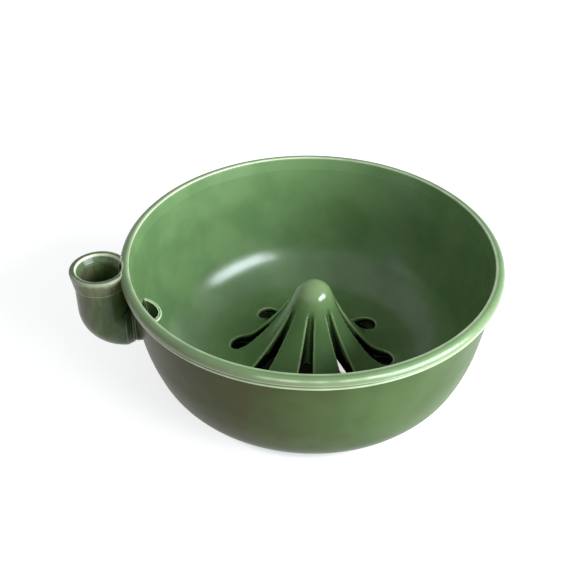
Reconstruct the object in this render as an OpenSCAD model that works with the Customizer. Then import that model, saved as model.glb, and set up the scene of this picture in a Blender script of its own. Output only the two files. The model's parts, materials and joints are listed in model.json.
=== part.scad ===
// Berry colander bowl in glazed stoneware: a thrown bowl with a slotted, hollow drainer cone
// in its floor and an elbow pipe luted to its side. Millimetres, +Z up, elbow along -X.
// The origin is on the bowl's axis, on the surface that the foot ring stands on.
// Each node is one clay member as the potter makes it, with the seat that it is luted into.

/* [Bowl] */
// Diameter across the outside of the rim bead
bowl_d = 180; // [174:1:200]
// Height from the table to the top of the rim
bowl_h = 77; // [74:0.5:90]
// Thickness of the thrown wall
wall_t = 3.2; // [2.6:0.1:4]
// Lean of the upper wall away from upright, in degrees
wall_lean = 8.4; // [6:0.2:11]
// Outer radius of the slow curve between the corner and the straight upper wall
belly_r = 92; // [75:1:110]
// Degrees that the tight bottom corner turns through before the belly takes over
corner_turn = 69; // [62:1:74]
// Thickness of the floor, drainer plate included
floor_t = 4; // [3:0.2:5]
// Film of slip in each luted joint
lute_gap = 0.15; // [0.1:0.05:0.25]

/* [Rim bead] */
// Height of the bead above the wall's edge
bead_h = 6.4; // [5.8:0.1:7.5]
// How far the bead's roll overhangs the wall outside
bead_over = 2.6; // [2:0.1:3.2]
// How much the bead's inner face opens outwards on its way up
bead_flare = 1.3; // [0.8:0.1:1.6]
// Radius of the bead's outer roll
roll_r = 2.8; // [2.4:0.1:3]
// Radius of the fine ridge under the roll
ridge_r = 1.2; // [0.9:0.1:1.3]
// How far the ridge sits back from the roll
ridge_back = 0.6; // [0.4:0.1:0.9]
// Radius of the bead's inner lip
lip_r = 0.8; // [0.5:0.1:1.1]
// Width of the tongue on the wall's edge that keys the bead
bead_tongue_w = 1.1; // [0.8:0.1:1.3]
// Height of that tongue
bead_tongue_h = 1.3; // [0.8:0.1:1.6]

/* [Foot ring] */
// Height of the foot ring
foot_h = 7; // [5.5:0.5:9]
// Width of the foot ring where it meets the floor
foot_w = 4; // [3.4:0.1:5]
// Draw of the foot ring's outer face over its height
foot_draw = 0.8; // [0.4:0.1:1.2]
// Radius of the foot ring's outer bottom edge
foot_edge_r = 1; // [0.6:0.1:1.3]
// Width of the tongue that keys the foot ring into the floor
foot_tongue_w = 1.4; // [1:0.1:1.6]
// Height of that tongue
foot_tongue_h = 1; // [0.8:0.1:1.2]
// Number of drain arches under the foot ring
arch_n = 3; // [2:1:4]
// Width of a drain arch on the table
arch_w = 13; // [9:0.5:16]
// Height of a drain arch
arch_h = 3; // [2:0.25:4]
// Direction of the first drain arch, in degrees from +X
arch_turn = 60; // [40:1:80]

/* [Drainer plate and cone] */
// Diameter of the drainer plate that is let into the floor
drainer_d = 98; // [96:0.5:102]
// Width of the ledge that carries the plate
ledge_w = 2.5; // [2:0.1:3]
// Height of the cone above the floor
cone_h = 48.5; // [46:0.5:54]
// How far the cone stands off the bowl's axis
cone_shift = 1.2; // [0:0.1:1.5]
// Direction of that shift, in degrees from +X
cone_shift_turn = -10; // [-180:5:180]
// Radius of the rounded tip
tip_r = 8.4; // [7.6:0.1:9]
// Slope of the flank just under the tip, in degrees from upright
tip_lean = 20; // [18:0.5:22]
// Slope of the flank where the foot flare starts, in degrees from upright
flank_lean = 38.5; // [36:0.5:40]
// Radius of the flare between the flank and the floor
flare_r = 19; // [16:0.5:21]
// Thickness of the cone's crown over the hollow
crown_t = 7; // [5:0.5:9]
// Radius of the hollow's rounded top
hollow_tip_r = 3.4; // [2.6:0.1:4]
// Diameter of the hollow at the plate's underside
hollow_d = 46; // [43:0.5:48]

/* [Slots] */
// Depth below the tip at which the carved grooves fade out
groove_drop = 12; // [10.5:0.5:14]
// Slope of the grooves' back wall, in degrees from upright
groove_lean = 12.3; // [11:0.1:13.5]
// Width of a groove at its top end
slot_top_w = 2; // [1.6:0.1:2.4]
// Width of a slot at the foot of the flank
slot_mid_w = 7.6; // [6.6:0.1:8.4]
// Width of a slot at its round outer end
slot_end_w = 10.8; // [9.6:0.1:11.6]
// Distance of a groove's top end from the cone's axis
slot_top_reach = 8; // [7:0.25:9]
// Length over which a slot widens from the foot of the flank to its round outer end
slot_widen_l = 10.3; // [9:0.1:11.5]
// Width of the plate that is left outside the round ends
slot_margin = 5.8; // [5.2:0.1:6.6]

/* [Elbow pipe] */
// Depth of the pipe's level leg below the top of the rim
port_drop = 32.5; // [30:0.5:35]
// How far the centre of the mouth stands outside the rim
mouth_offset = 9.2; // [8.8:0.1:10]
// Outside diameter of the pipe
pipe_d = 24; // [23:0.1:24.4]
// Bore of the pipe, from the mouth to the end of the bend
pipe_bore_d = 17.2; // [15:0.2:17.6]
// Radius of the bend on the pipe's centre line
bend_r = 10; // [9.6:0.1:10.2]
// Diameter of the spigot that carries the mouth collar
spigot_d = 20.4; // [19.6:0.1:20.6]
// Height of that spigot
spigot_h = 4.7; // [4:0.1:5.2]
// Diameter of the shoulder that the pipe draws in to past the bend
shoulder_d = 21.1; // [20.6:0.1:21.8]
// Length of the pipe from the end of the bend to that shoulder
shoulder_l = 3.4; // [3:0.1:3.5]
// Diameter of the pipe's tail where it passes through the wall
tail_d = 18; // [17.4:0.1:18.6]
// Bore of the tail
tail_bore_d = 14.4; // [13:0.2:14.8]

/* [Mouth collar] */
// Height of the collar
collar_h = 8.4; // [7.8:0.1:9]
// Outside diameter at the top
collar_d = 27.2; // [26.4:0.1:27.6]
// Outside diameter at the bottom, a fine step wider than the pipe
collar_foot_d = 24.8; // [24.6:0.1:25.4]
// Bore at the lip
mouth_d = 21.2; // [20.9:0.1:21.6]
// How far the mouth's top lies below the top of the rim
mouth_drop = 0.3; // [0:0.1:0.8]

/* [Wall collar] */
// Outside diameter of the collar round the pipe's tail, between its shoulder and the wall
saddle_d = 20.7; // [20.2:0.1:21]
// Radius of its edge at the shoulder
saddle_edge_r = 0.4; // [0.2:0.1:0.5]

/* [Port scoop] */
// Outside diameter of the half cup over the inner port
scoop_d = 21.4; // [21:0.1:22.4]
// Thickness of the cup
scoop_t = 1.7; // [1.4:0.1:2.2]
// How deep the cup's centre lies inside the wall's inner face
scoop_sink = 2.9; // [2.6:0.1:3.4]
// How far the cup's centre stands above the port's centre
scoop_rise = 2.3; // [2:0.1:2.8]
// Height of the cup's brim above the cup's centre
scoop_brim = 3.05; // [2.4:0.05:3.6]
// Slope of the brim down into the bowl, in degrees
scoop_tilt = 15; // [8:1:22]

/* [Hidden] */
$fn = 96;
// Segments round the bowl's face where it cuts the small wall collar
fine_fn = 288;
// Segments in each round stretch of an outline
arc_n = 10;
// Turn that keeps two joined arcs from sharing a point, in degrees
arc_step = 0.1;
// Overrun of every cut past the face that it opens
over = 1;
// Directions of the slots, set out by eye as on the real cone, in degrees from +X
slot_turns = [32.5, 75, 117, 159.5, 206.5, 254, 299.5, 347.5];
// Share of the floor's thickness that stays as the ledge under the plate
ledge_share = 0.5;
// Share of the wall's thickness from its outer face to the middle of the bead's tongue
tongue_share = 0.5;
// Share of the foot ring's width from its inner face to the middle of its tongue
foot_tongue_share = 0.55;
// Step between the floor's opening and the foot ring's inner face
foot_step = 0.5;
// Flat of the floor's underside that shows outside the foot ring
foot_margin = 0.5;
// Depth of the fine groove between the bead's roll and its ridge
bead_groove = 0.4;

// Radius of the rim and levels of the floor and of the wall's edge
rim_r = bowl_d / 2;
floor_z = foot_h;
floor_top = floor_z + floor_t;
ledge_z = floor_z + floor_t * ledge_share;
seat_z = bowl_h - bead_h;
// Outer and inner radius of the wall at its edge
seat_out_r = rim_r - bead_over;
seat_in_r = seat_out_r - wall_t / cos(wall_lean);
// Plate, opening and foot ring, each worked out from the one inside it
plate_r = drainer_d / 2;
open_r = plate_r - ledge_w;
foot_in_r = open_r + foot_step;
foot_out_r = foot_in_r + foot_w;
flat_r = foot_out_r + foot_margin;
// Radius of the bottom corner that joins the flat underside to the belly and the leaning wall
belly_turn = 90 - wall_lean;
belly_run = sin(belly_turn) - sin(corner_turn) - tan(wall_lean) * (cos(corner_turn) - cos(belly_turn));
corner_run = sin(corner_turn) - tan(wall_lean) * (1 - cos(corner_turn));
lean_run = (seat_z - floor_z) * tan(wall_lean);
corner_r = (seat_out_r - flat_r - lean_run - belly_r * belly_run) / corner_run;
// Cone: level of the tip, and the long radius of the flank between tip and flare
tip_z = floor_top + cone_h;
flank_drop = cone_h - tip_r * (1 - sin(tip_lean)) - flare_r * (1 - sin(flank_lean));
flank_r = flank_drop / (sin(flank_lean) - sin(tip_lean));
flank_in_r = tip_r * cos(tip_lean);
flare_in_r = flank_in_r + flank_r * (cos(tip_lean) - cos(flank_lean));
flare_end_r = flare_in_r + flare_r * cos(flank_lean);
cone_x = cone_shift * cos(cone_shift_turn);
cone_y = cone_shift * sin(cone_shift_turn);
// Groove: slope angle and radius of the flank where the grooves fade
groove_fall = groove_drop - tip_r * (1 - sin(tip_lean));
groove_angle = asin(sin(tip_lean) + groove_fall / flank_r);
groove_r = flank_in_r + flank_r * (cos(tip_lean) - cos(groove_angle));
groove_z = tip_z - groove_drop;
// Slots: reach of the round outer end's centre and of the middle width, from the cone's axis
slot_end_reach = plate_r - slot_margin - slot_end_w / 2;
slot_mid_reach = slot_end_reach - slot_widen_l;
// Elbow: height of its level leg, radii, the mouth's centre line, the bend's centre and the levels
// up the pipe
port_h = bowl_h - port_drop;
pipe_r = pipe_d / 2;
bore_r = pipe_bore_d / 2;
tail_bore_r = tail_bore_d / 2;
mouth_r = mouth_d / 2;
mouth_x = -(rim_r + mouth_offset);
bend_x = mouth_x + bend_r;
bend_z = port_h + bend_r;
shoulder_x = bend_x + shoulder_l;
collar_top = bowl_h - mouth_drop;
collar_z = collar_top - collar_h;
spigot_top = collar_z + spigot_h;
collar_lip_r = (collar_d - mouth_d) / 4;
// Inner face of the wall at the port's height, which the scoop is set against
port_in_r = seat_in_r - (seat_z - port_h) * tan(wall_lean);
scoop_r = scoop_d / 2;
scoop_x = -(port_in_r + scoop_sink);

// Points along an arc about c, from angle a0 to angle a1
function arc(c, r, a0, a1) = [
    for (i = [0:arc_n]) c + r * [cos(a0 + (a1 - a0) * i / arc_n), sin(a0 + (a1 - a0) * i / arc_n)]
];

// Face of the thrown wall, from the flat floor up to the wall's edge: corner, belly, lean
function wall_face(r1, r2, flat_z, top_r) =
    let (
        knee = [r1 * sin(corner_turn), r1 * (1 - cos(corner_turn))],
        hip = r2 * [sin(belly_turn) - sin(corner_turn), cos(corner_turn) - cos(belly_turn)],
        lean_h = seat_z - flat_z - knee[1] - hip[1],
        start_r = top_r - lean_h * tan(wall_lean) - knee[0] - hip[0],
        belly_c = [start_r + knee[0] - r2 * sin(corner_turn), flat_z + knee[1] + r2 * cos(corner_turn)]
    )
    concat(
        arc([start_r, flat_z + r1], r1, -90, corner_turn - 90),
        arc(belly_c, r2, corner_turn - 90 + arc_step, -wall_lean),
        [[top_r, seat_z]]
    );
outer_face = wall_face(corner_r, belly_r, floor_z, seat_out_r);
inner_face = wall_face(corner_r - wall_t, belly_r - wall_t, floor_top, seat_in_r);
function reversed(list) = [for (i = [len(list) - 1:-1:0]) list[i]];

// Two top corners of a tongue of width w and height h, centred at radius r on level z
function tongue(r, z, w, h) = [[r + w / 2, z], [r + w / 2, z + h], [r - w / 2, z + h], [r - w / 2, z]];
bead_tongue_at = seat_out_r - (seat_out_r - seat_in_r) * tongue_share;
foot_tongue_at = foot_in_r + foot_w * foot_tongue_share;

// Outer side of the bead, from the wall's edge round the ridge, the groove and the roll to the lip
ridge_c = [rim_r - ridge_back - ridge_r, seat_z + ridge_r];
roll_c = [rim_r - roll_r, bowl_h - roll_r];
lip_c = [seat_in_r + bead_flare + lip_r, bowl_h - lip_r];
bead_face = concat(
    arc(ridge_c, ridge_r, -90, 30),
    [[rim_r - ridge_back - bead_groove, ridge_c[1] + ridge_r]],
    arc(roll_c, roll_r, -12, 90),
    arc(lip_c, lip_r, 90, 180 - wall_lean)
);

// Everything inside the bowl's outer face up to the wall's edge
module outer_form() {
    rotate_extrude() polygon(concat([[0, floor_z]], outer_face, [[0, seat_z]]));
}
// Everything inside the rim bead's outer side
module bead_form() {
    rotate_extrude() polygon(concat([[0, seat_z]], bead_face, [[0, bowl_h - lip_r]]));
}
// The room inside the bowl, up to the wall's edge
module inner_form() {
    rotate_extrude() polygon(concat([[0, floor_top]], inner_face, [[0, seat_z]]));
}
// Turns a shape drawn up the Z axis so that it lies along the port's level axis, +Z to +X
module along_port(x) {
    translate([x, 0, port_h]) rotate([0, 90, 0]) children();
}
// Solid elbow of radius r: the tight bend, cut off at its own axis, and the upright leg to level top
module elbow_form(r, top) {
    translate([mouth_x, 0, bend_z]) cylinder(r = r, h = top - bend_z);
    translate([bend_x, 0, bend_z]) rotate([-90, 0, 180]) rotate_extrude(angle = 90) intersection() {
        translate([bend_r, 0]) circle(r = r);
        translate([0, -r]) square([bend_r + r, 2 * r]);
    }
}

// Thrown wall and floor, with the tongue for the bead, the ledge for the plate, the key for the
// foot ring and the bored port for the pipe's tail
module bowl_wall() {
    groove = tongue(foot_tongue_at, floor_z, foot_tongue_w + 2 * lute_gap, foot_tongue_h + lute_gap);
    profile = concat(
        [[open_r, floor_z]],
        reversed(groove),
        outer_face,
        tongue(bead_tongue_at, seat_z, bead_tongue_w, bead_tongue_h),
        reversed(inner_face),
        [[plate_r, floor_top], [plate_r, ledge_z], [open_r, ledge_z]]
    );
    color("#67854f")
    difference() {
        rotate_extrude() polygon(profile);
        along_port(-rim_r) cylinder(d = tail_d + 2 * lute_gap, h = rim_r - plate_r);
    }
}

// Rolled coil that finishes the rim, keyed over the wall's edge and scalloped by the mouth
module rim_bead() {
    key = tongue(bead_tongue_at, seat_z, bead_tongue_w + 2 * lute_gap, bead_tongue_h + lute_gap);
    color("#8aa873")
    difference() {
        rotate_extrude() polygon(concat([[seat_in_r, seat_z]], reversed(key), bead_face));
        translate([mouth_x, 0, seat_z - over]) cylinder(r = mouth_r, h = bead_h + 2 * over);
    }
}

// Coil that the bowl stands on, with arches that let the drained water out
module foot_ring() {
    edge_c = [foot_out_r - foot_draw - foot_edge_r, foot_edge_r];
    arch_r = (arch_w * arch_w / 4 + arch_h * arch_h) / (2 * arch_h);
    color("#5c7446")
    difference() {
        rotate_extrude() polygon(concat(
            [[foot_in_r, 0]],
            arc(edge_c, foot_edge_r, -90, 0),
            [[foot_out_r, foot_h]],
            tongue(foot_tongue_at, foot_h, foot_tongue_w, foot_tongue_h),
            [[foot_in_r, foot_h]]
        ));
        for (i = [0:arch_n - 1])
            rotate([0, 0, arch_turn + 360 * i / arch_n])
                translate([foot_in_r - over, 0, arch_h - arch_r])
                    rotate([0, 90, 0]) cylinder(r = arch_r, h = foot_w + 2 * over);
    }
}

// Outline of one slot: narrow at the top of its groove, wide and round at its outer end
module slot_outline() {
    polygon([
        [slot_top_reach, -slot_top_w / 2], [slot_mid_reach, -slot_mid_w / 2],
        [slot_end_reach, -slot_end_w / 2], [slot_end_reach, slot_end_w / 2],
        [slot_mid_reach, slot_mid_w / 2], [slot_top_reach, slot_top_w / 2],
    ]);
    translate([slot_end_reach, 0]) circle(d = slot_end_w);
}

// Plate and cone thrown as one, hollow underneath, with the grooves that break through as slots
module drainer_cone() {
    flank_c = [
        flank_in_r + flank_r * cos(tip_lean),
        tip_z - tip_r * (1 - sin(tip_lean)) + flank_r * sin(tip_lean),
    ];
    hollow_c = [0, tip_z - crown_t - hollow_tip_r];
    hollow_lean = atan((hollow_d / 2 - hollow_tip_r) / (hollow_c[1] - floor_z));
    color("#7d9a63")
    difference() {
        union() {
            translate([0, 0, ledge_z]) cylinder(r = plate_r - lute_gap, h = floor_top - ledge_z);
            translate([0, 0, floor_z]) cylinder(r = open_r - lute_gap, h = ledge_z - floor_z);
            translate([cone_x, cone_y, 0]) rotate_extrude() polygon(concat(
                [[0, ledge_z], [flare_end_r, ledge_z]],
                arc([flare_end_r, floor_top + flare_r], flare_r, -90, -180 + flank_lean),
                arc(flank_c, flank_r, 180 + flank_lean - arc_step, 180 + tip_lean),
                arc([0, tip_z - tip_r], tip_r, tip_lean, 90)
            ));
        }
        translate([cone_x, cone_y, 0]) {
            rotate_extrude() polygon(concat(
                [[0, floor_z - over], [hollow_d / 2, floor_z - over], [hollow_d / 2, floor_z]],
                arc(hollow_c, hollow_tip_r, hollow_lean, 90)
            ));
            difference() {
                for (turn = slot_turns)
                    rotate([0, 0, turn]) linear_extrude(height = groove_z) slot_outline();
                cylinder(h = groove_z, r1 = groove_r + groove_z * tan(groove_lean), r2 = groove_r);
            }
        }
    }
}

// Bent pipe: spigot for the mouth collar on top, shoulder below and the tail through the wall
module elbow_pipe() {
    color("#6f8a55")
    difference() {
        union() {
            difference() {
                union() {
                    elbow_form(pipe_r, collar_z);
                    along_port(bend_x) cylinder(r1 = pipe_r, d2 = shoulder_d, h = shoulder_l);
                }
                outer_form();
            }
            translate([mouth_x, 0, collar_z]) cylinder(d = spigot_d, h = spigot_h);
            difference() {
                along_port(bend_x) cylinder(d = tail_d, h = -bend_x - plate_r);
                inner_form();
            }
        }
        elbow_form(bore_r, spigot_top + over);
        along_port(bend_x) cylinder(r = tail_bore_r, h = -bend_x);
    }
}

// Thickened lip sleeved over the pipe's spigot and saddled against the rim bead
module mouth_collar() {
    lip_at = mouth_r + collar_lip_r;
    color("#9db184")
    difference() {
        translate([mouth_x, 0, 0]) rotate_extrude() polygon(concat(
            [[spigot_d / 2 + lute_gap, collar_z], [collar_foot_d / 2, collar_z]],
            arc([lip_at, collar_top - collar_lip_r], collar_lip_r, 0, 180),
            [[bore_r, spigot_top + lute_gap], [spigot_d / 2 + lute_gap, spigot_top + lute_gap]]
        ));
        outer_form();
        bead_form();
    }
}

// Roll of clay that closes the joint between the pipe's shoulder and the wall
module wall_collar() {
    tail_at = tail_d / 2 + lute_gap;
    ring_h = -shoulder_x - port_in_r;
    color("#5f7a49")
    difference() {
        along_port(shoulder_x + lute_gap) rotate_extrude() polygon(concat(
            [[tail_at, 0]],
            arc([saddle_d / 2 - saddle_edge_r, saddle_edge_r], saddle_edge_r, -90, 0),
            [[saddle_d / 2, ring_h], [tail_at, ring_h]]
        ));
        outer_form($fn = fine_fn);
    }
}

// Half cup over the port inside the bowl, open upwards, that feeds the pipe
module port_scoop() {
    brim_w = 2 * scoop_d;
    color("#93ad79")
    intersection() {
        translate([scoop_x, 0, port_h + scoop_rise]) difference() {
            sphere(r = scoop_r);
            sphere(r = scoop_r - scoop_t);
            rotate([0, scoop_tilt, 0]) translate([-brim_w / 2, -brim_w / 2, scoop_brim]) cube(brim_w);
        }
        inner_form();
    }
}

bowl_wall();
rim_bead();
foot_ring();
drainer_cone();
elbow_pipe();
mouth_collar();
wall_collar();
port_scoop();
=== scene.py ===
import json
import math
from functools import partial

import bmesh
import bpy
import numpy as np
from mathutils import Matrix, Vector

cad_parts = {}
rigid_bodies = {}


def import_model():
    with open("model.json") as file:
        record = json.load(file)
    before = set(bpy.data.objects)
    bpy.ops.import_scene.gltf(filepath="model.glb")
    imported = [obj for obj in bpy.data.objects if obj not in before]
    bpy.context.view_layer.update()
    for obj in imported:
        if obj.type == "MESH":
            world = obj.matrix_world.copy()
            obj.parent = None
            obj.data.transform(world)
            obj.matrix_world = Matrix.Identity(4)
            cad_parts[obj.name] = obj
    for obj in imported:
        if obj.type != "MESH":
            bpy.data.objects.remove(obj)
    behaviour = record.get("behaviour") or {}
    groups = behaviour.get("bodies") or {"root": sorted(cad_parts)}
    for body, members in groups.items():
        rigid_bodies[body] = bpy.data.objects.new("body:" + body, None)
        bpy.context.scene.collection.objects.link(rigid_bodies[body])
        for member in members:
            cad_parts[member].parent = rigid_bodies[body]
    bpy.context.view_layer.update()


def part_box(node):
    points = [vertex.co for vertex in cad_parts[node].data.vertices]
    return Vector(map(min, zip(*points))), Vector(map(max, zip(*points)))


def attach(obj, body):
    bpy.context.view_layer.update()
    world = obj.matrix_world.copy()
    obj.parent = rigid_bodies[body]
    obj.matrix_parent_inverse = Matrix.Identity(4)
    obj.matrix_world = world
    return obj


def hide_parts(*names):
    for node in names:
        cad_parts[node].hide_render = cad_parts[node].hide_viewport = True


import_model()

mm = 0.001

# Bowl wall
# The thrown wall and floor: flat, with a rebate for the drainer plate, then a tight bottom corner,
# a slow belly and a straight, leaning wall with fine throwing lines. The glaze is glossy inside and
# a browner, matt wash outside. The port for the pipe's tail is bored through the left.
bead_low, bead_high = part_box("rim_bead")
rim_r = bead_high.x
rim_top = bead_high.z
seat_z = bead_low.z
floor_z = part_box("bowl_wall")[0].z
floor_t = 4 * mm
floor_top = floor_z + floor_t
wall_t = 3.2 * mm
wall_lean = math.radians(8.4)
lean_turn = math.pi / 2 - wall_lean
corner_turn = math.radians(69)
belly_r = 92 * mm
bead_over = 2.6 * mm
seat_out_r = rim_r - bead_over
seat_in_r = seat_out_r - wall_t / math.cos(wall_lean)
flat_r = 51.5 * mm
plate_r = 49 * mm
open_r = 46.5 * mm
ledge_t = 2 * mm
ledge_z = floor_z + ledge_t
port_z = 44.5 * mm
tail_r = 9 * mm


def arc(centre, radius, start, end, steps):
    """Points along an arc in the turned profile, as (distance from the axis, height)"""
    turns = np.linspace(start, end, steps + 1)
    return [(centre[0] + radius * math.cos(t), centre[1] + radius * math.sin(t)) for t in turns]


def wall_face(corner_r, slow_r, flat_z, top_r):
    """One face of the wall, from the flat floor up to the wall's edge: corner, belly, lean"""
    knee = (corner_r * math.sin(corner_turn), corner_r * (1 - math.cos(corner_turn)))
    hip = (slow_r * (math.sin(lean_turn) - math.sin(corner_turn)),
           slow_r * (math.cos(corner_turn) - math.cos(lean_turn)))
    lean_h = seat_z - flat_z - knee[1] - hip[1]
    start_r = top_r - lean_h * math.tan(wall_lean) - knee[0] - hip[0]
    belly_c = (start_r + knee[0] - slow_r * math.sin(corner_turn),
               flat_z + knee[1] + slow_r * math.cos(corner_turn))
    corner = arc((start_r, flat_z + corner_r), corner_r, -math.pi / 2, corner_turn - math.pi / 2, 22)
    belly = arc(belly_c, slow_r, corner_turn - math.pi / 2, -wall_lean, 10)
    lean = [(top_r - s * lean_h * math.tan(wall_lean), seat_z - s * lean_h) for s in np.linspace(1, 0, 14)]
    return corner + belly[1:] + lean[1:]


def bottom_corner_r():
    """Radius of the bottom corner that lets the outer face reach from the flat to the wall's edge"""
    belly_run = (math.sin(lean_turn) - math.sin(corner_turn)
                 - math.tan(wall_lean) * (math.cos(corner_turn) - math.cos(lean_turn)))
    corner_run = math.sin(corner_turn) - math.tan(wall_lean) * (1 - math.cos(corner_turn))
    lean_run = (seat_z - floor_z) * math.tan(wall_lean)
    return (seat_out_r - flat_r - lean_run - belly_r * belly_run) / corner_run


def place(tree, kind, feeds=None, **settings):
    """A new node with its settings made and its inputs fed: a socket is linked, a value is set"""
    node = tree.nodes.new(kind)
    for name, value in settings.items():
        setattr(node, name, value)
    for name, feed in (feeds or {}).items():
        if isinstance(feed, bpy.types.NodeSocket):
            tree.links.new(feed, node.inputs[name])
        else:
            node.inputs[name].default_value = feed
    return node


def math_step(tree, kind, *feeds, **settings):
    """The result of one math node, from sockets or values"""
    return place(tree, "ShaderNodeMath", dict(enumerate(feeds)), operation=kind, **settings).outputs[0]


def geometry_tree(name, inputs):
    """An empty geometry tree with a geometry in and out and the named inputs after it"""
    tree = bpy.data.node_groups.new(name, "GeometryNodeTree")
    tree.interface.new_socket(name="Geometry", in_out="OUTPUT", socket_type="NodeSocketGeometry")
    tree.interface.new_socket(name="Geometry", in_out="INPUT", socket_type="NodeSocketGeometry")
    for label, kind in inputs.items():
        tree.interface.new_socket(name=label, in_out="INPUT", socket_type="NodeSocket" + kind)
    return tree, tree.nodes.new("NodeGroupInput").outputs


def finish_tree(tree, shape, glaze):
    """Ends a geometry tree in real geometry that carries the glaze"""
    real = place(tree, "GeometryNodeRealizeInstances", {"Geometry": shape})
    coated = place(tree, "GeometryNodeSetMaterial", {"Geometry": real.outputs[0], "Material": glaze})
    place(tree, "NodeGroupOutput", {"Geometry": coated.outputs[0]})


def wheel_tree():
    """The potter's wheel: sweeps a profile round the axis and lays fine throwing lines on it.

    The lines and the sway press the clay inwards only, and fade out towards the floor."""
    tree, given = geometry_tree("wheel", {
        "Steps round": "Int", "Core radius": "Float", "Axis": "Vector",
        "Line depth": "Float", "Line pitch": "Float", "Sway": "Float", "Glaze": "Material"})
    step = partial(math_step, tree)
    fade_from, fade_to = 55 * mm, 75 * mm
    ring = place(tree, "GeometryNodeCurvePrimitiveCircle", {
        "Resolution": given["Steps round"], "Radius": given["Core radius"]})
    turned = place(tree, "GeometryNodeCurveToMesh", {
        "Curve": ring.outputs["Curve"], "Profile Curve": given["Geometry"]})
    spot = place(tree, "GeometryNodeInputPosition").outputs[0]
    flat = place(tree, "ShaderNodeVectorMath", {0: spot, 1: (1, 1, 0)}, operation="MULTIPLY").outputs[0]
    outward = place(tree, "ShaderNodeVectorMath", {0: flat}, operation="NORMALIZE").outputs[0]
    apart = place(tree, "ShaderNodeVectorMath", {0: spot, 1: (0.12, 0.12, 1)}, operation="MULTIPLY")
    lines = place(tree, "ShaderNodeTexNoise", {
        "Vector": apart.outputs[0], "Scale": step("DIVIDE", 1.0, given["Line pitch"]), "Detail": 2.0})
    slow = place(tree, "ShaderNodeTexNoise", {"Vector": spot, "Scale": 14.0, "Detail": 1.0})
    line_h = step("MULTIPLY", step("SUBTRACT", lines.outputs[0], 0.5), given["Line depth"])
    sway = step("MULTIPLY", step("SUBTRACT", slow.outputs[0], 0.5), given["Sway"])
    inward = step("MINIMUM", step("ADD", line_h, sway), 0.0)
    reach = place(tree, "ShaderNodeVectorMath", {0: flat}, operation="LENGTH").outputs["Value"]
    free = place(tree, "ShaderNodeMapRange", {"Value": reach, "From Min": fade_from, "From Max": fade_to})
    moved = step("MULTIPLY", inward, free.outputs[0])
    out = place(tree, "ShaderNodeVectorMath", {0: outward, "Scale": moved}, operation="SCALE")
    worn = place(tree, "GeometryNodeSetPosition", {"Geometry": turned.outputs[0], "Offset": out.outputs[0]})
    stood = place(tree, "GeometryNodeTransform", {"Geometry": worn.outputs[0], "Translation": given["Axis"]})
    finish_tree(tree, stood.outputs[0], given["Glaze"])
    return tree


wheel = wheel_tree()


def run_tree(source, tree, values):
    """Runs a geometry tree on an object and gives back the plain mesh that it makes"""
    work = source.modifiers.new(tree.name, "NODES")
    work.node_group = tree
    for item in tree.interface.items_tree:
        if item.in_out == "INPUT" and item.name in values:
            work[item.identifier] = values[item.name]
    graph = bpy.context.evaluated_depsgraph_get()
    mesh = bpy.data.meshes.new_from_object(source.evaluated_get(graph), depsgraph=graph)
    bpy.data.objects.remove(source)
    return mesh


def turned(name, profile, glaze, steps, axis=(0, 0, 0), line_depth=0.0, line_pitch=1.0 * mm, sway=0.0):
    """A member thrown on the wheel from its closed profile, given as (distance, height) points"""
    core_r = 20 * mm
    outline = bpy.data.curves.new(name, "CURVE")
    outline.dimensions = "3D"
    path = outline.splines.new("POLY")
    path.points.add(len(profile) - 1)
    for point, (r, z) in zip(path.points, profile):
        point.co = (r - core_r, -z, 0, 1)
    path.use_cyclic_u = True
    source = bpy.data.objects.new(name, outline)
    bpy.context.scene.collection.objects.link(source)
    mesh = run_tree(source, wheel, {
        "Steps round": steps, "Core radius": core_r, "Axis": axis, "Line depth": line_depth,
        "Line pitch": line_pitch, "Sway": sway, "Glaze": glaze})
    face_out(mesh)
    return mesh


def face_out(mesh):
    """Merges a mesh's doubles and turns its faces outwards"""
    work = bmesh.new()
    work.from_mesh(mesh)
    bmesh.ops.remove_doubles(work, verts=work.verts, dist=0.002 * mm)
    bmesh.ops.recalc_face_normals(work, faces=work.faces)
    work.to_mesh(mesh)
    work.free()


def set_piece(name, mesh, slot, *nodes):
    """Sets a finished mesh in place of its CAD nodes and ties it to the body"""
    crease = math.radians(50)
    mesh.name = name
    piece = bpy.data.objects.new(name, mesh)
    bpy.context.scene.collection.objects.link(piece)
    for polygon in mesh.polygons:
        polygon.use_smooth = True
    mesh.set_sharp_from_angle(angle=crease)
    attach(piece, "root")
    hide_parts(*nodes)
    return piece


def smooth_step(value, low, high):
    """How far a value has come from low to high, from 0 to 1, with soft ends"""
    share = np.clip((value - low) / (high - low), 0, 1)
    return share * share * (3 - 2 * share)


def spots_of(mesh):
    """The places of a mesh's vertices, one row each"""
    spots = np.empty(len(mesh.vertices) * 3)
    mesh.vertices.foreach_get("co", spots)
    return spots.reshape(-1, 3)


def lay_on(mesh, name, film):
    """Keeps a film's strength at each vertex as an attribute, or the stronger where it has one"""
    layer = mesh.attributes.get(name) or mesh.attributes.new(name, "FLOAT", "POINT")
    kept = np.zeros(len(mesh.vertices))
    layer.data.foreach_get("value", kept)
    layer.data.foreach_set("value", np.maximum(kept, film))


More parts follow.
